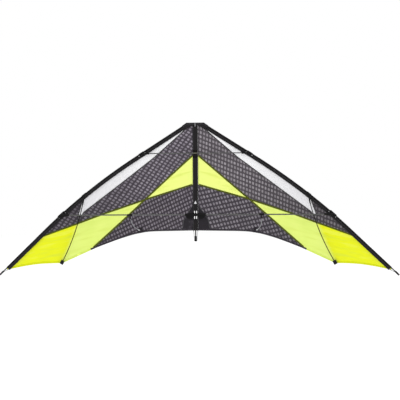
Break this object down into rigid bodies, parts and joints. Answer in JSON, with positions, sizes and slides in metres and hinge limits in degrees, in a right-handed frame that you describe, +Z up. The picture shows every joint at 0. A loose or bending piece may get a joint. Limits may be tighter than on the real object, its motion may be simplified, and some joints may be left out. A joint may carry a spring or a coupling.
{
  "type": "delta sport kite",
  "caption": "Dual-line delta sport kite with a rod frame, printed and neon panels, mesh vents, standoffs and battens; its wings fold back and its lower spreaders swing out.",
  "frame": {"origin": "centre of the T fitting, where the spine crosses the line of the lower spreaders", "axes": "+Z up the spine to the nose, +X to the flyer's right, -Y towards the flyer, so the sail fills towards +Y"},
  "size_m": [1.9362, 0.1629, 0.7346],
  "materials": {
    "carbon_rod": "satin carbon fibre tube with a ground surface",
    "fibreglass_rod": "solid grey fibreglass rod, smooth",
    "batten_rod": "solid black rod, smooth",
    "moulded_rubber": "soft moulded rubber, matt with faint mould lines",
    "black_plastic": "moulded plastic",
    "pale_plastic": "moulded plastic",
    "ferrule_metal": "drawn tube",
    "sleeve_webbing": "close woven polyester, folded and stitched",
    "pale_tape": "narrow woven tape",
    "white_tab": "woven tape, stitched",
    "tension_cord": "braided elastic cord",
    "mesh_cloth": "fine open mesh",
    "print_cloth": "ripstop nylon printed with rows of small pale rounded marks",
    "neon_cloth": "translucent neon yellow ripstop nylon",
    "hem_cloth": "folded ripstop hem",
    "patch_cloth": "adhesive-backed woven polyester patch"
  },
  "bodies": {
    "spine": {"spine_rod": "carbon_rod", "spine_sleeve": "sleeve_webbing", "centre_tee": "moulded_rubber", "nose_patch": "sleeve_webbing", "nose_loop": "pale_tape", "upper_spreader": "carbon_rod", "spreader_keeper": "sleeve_webbing", "sleeve_tab": "white_tab", "tail_cap": "black_plastic", "tail_tension_cord": "tension_cord"},
    "left_wing": {"left_upper_leading_edge_rod": "carbon_rod", "left_lower_leading_edge_rod": "carbon_rod", "left_leading_edge_ferrule": "ferrule_metal", "left_leading_edge_sleeve": "sleeve_webbing", "left_upper_connector": "moulded_rubber", "left_batten_connector": "black_plastic", "left_connector_stops": "black_plastic", "left_inner_standoff": "fibreglass_rod", "left_standoff_end": "pale_plastic", "left_outer_batten": "batten_rod", "left_batten_block": "black_plastic", "left_tip_cap": "black_plastic", "left_tip_tension_cord": "tension_cord", "left_mesh_panel": "mesh_cloth", "left_upper_print_panel": "print_cloth", "left_outer_print_panel": "print_cloth", "left_centre_neon_panel": "neon_cloth", "left_lower_print_panel": "print_cloth", "left_tip_neon_panel": "neon_cloth", "left_trailing_edge_hem": "hem_cloth", "left_centre_reinforcement": "patch_cloth", "left_standoff_patch": "patch_cloth"},
    "left_spreader": {"left_lower_connector": "moulded_rubber", "left_lower_spreader": "carbon_rod", "left_standoff_clip": "moulded_rubber"},
    "right_wing": {"right_upper_leading_edge_rod": "carbon_rod", "right_lower_leading_edge_rod": "carbon_rod", "right_leading_edge_ferrule": "ferrule_metal", "right_leading_edge_sleeve": "sleeve_webbing", "right_upper_connector": "moulded_rubber", "right_batten_connector": "black_plastic", "right_connector_stops": "black_plastic", "right_inner_standoff": "fibreglass_rod", "right_standoff_end": "pale_plastic", "right_outer_batten": "batten_rod", "right_batten_block": "black_plastic", "right_tip_cap": "black_plastic", "right_tip_tension_cord": "tension_cord", "right_mesh_panel": "mesh_cloth", "right_upper_print_panel": "print_cloth", "right_outer_print_panel": "print_cloth", "right_centre_neon_panel": "neon_cloth", "right_lower_print_panel": "print_cloth", "right_tip_neon_panel": "neon_cloth", "right_trailing_edge_hem": "hem_cloth", "right_centre_reinforcement": "patch_cloth", "right_standoff_patch": "patch_cloth"},
    "right_spreader": {"right_lower_connector": "moulded_rubber", "right_lower_spreader": "carbon_rod", "right_standoff_clip": "moulded_rubber"}
  },
  "joints": [
    {"name": "left_wing_fold", "type": "hinge", "parent": "spine", "child": "left_wing", "pos_m": [-0.0133, 0.003, 0], "axis": [0, 0, -1], "range_deg": [0, 58], "deforming": ["left_upper_connector", "nose_patch", "centre_tee"]},
    {"name": "left_spreader_swing", "type": "hinge", "parent": "left_wing", "child": "left_spreader", "pos_m": [-0.65313, 0.0092, 0.00225], "axis": [-0.7502, 0.0405, -0.66], "range_deg": [0, 60], "deforming": ["left_standoff_clip"]},
    {"name": "right_wing_fold", "type": "hinge", "parent": "spine", "child": "right_wing", "pos_m": [0.0133, 0.003, 0], "axis": [0, 0, 1], "range_deg": [0, 58], "deforming": ["right_upper_connector"]},
    {"name": "right_spreader_swing", "type": "hinge", "parent": "right_wing", "child": "right_spreader", "pos_m": [0.65313, 0.0092, 0.00225], "axis": [-0.7502, -0.0405, 0.66], "range_deg": [0, 60], "deforming": ["right_standoff_clip"]}
  ]
}
